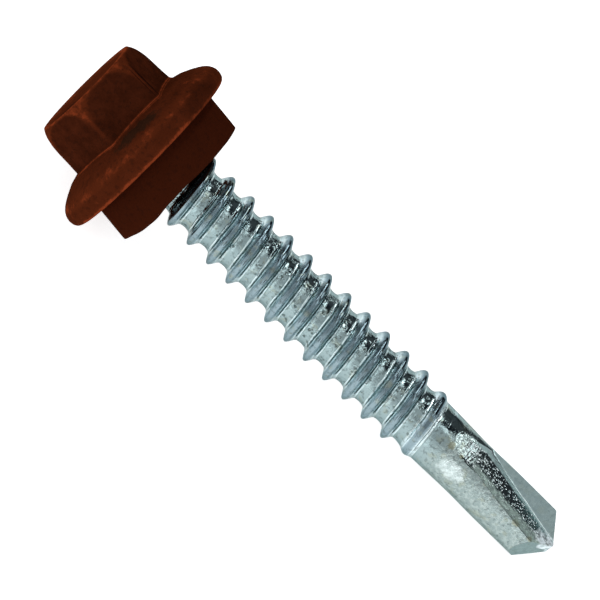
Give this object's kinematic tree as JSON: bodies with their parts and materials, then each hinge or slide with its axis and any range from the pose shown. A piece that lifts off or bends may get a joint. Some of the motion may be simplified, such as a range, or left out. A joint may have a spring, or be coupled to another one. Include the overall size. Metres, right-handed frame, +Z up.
{
  "type": "self drilling screw",
  "caption": "Self drilling screw with a painted hex washer head, a thick rubber sealing washer, a zinc threaded shank and a fluted drill point.",
  "frame": {"origin": "on the surface the screw lies on, under the middle of its length", "axes": "+X along the lying screw from its head to its drill point, +Z up; the screw's own axis leans down towards the point"},
  "size_m": [0.0434, 0.014, 0.0139],
  "materials": {
    "zinc_steel": "bright zinc with rolling marks",
    "brown_paint": "satin brown paint, worn lighter on its edges",
    "seal_rubber": "matte dark brown rubber"
  },
  "bodies": {
    "root": {"screw": "zinc_steel", "seal_washer": "seal_rubber"}
  },
  "joints": []
}
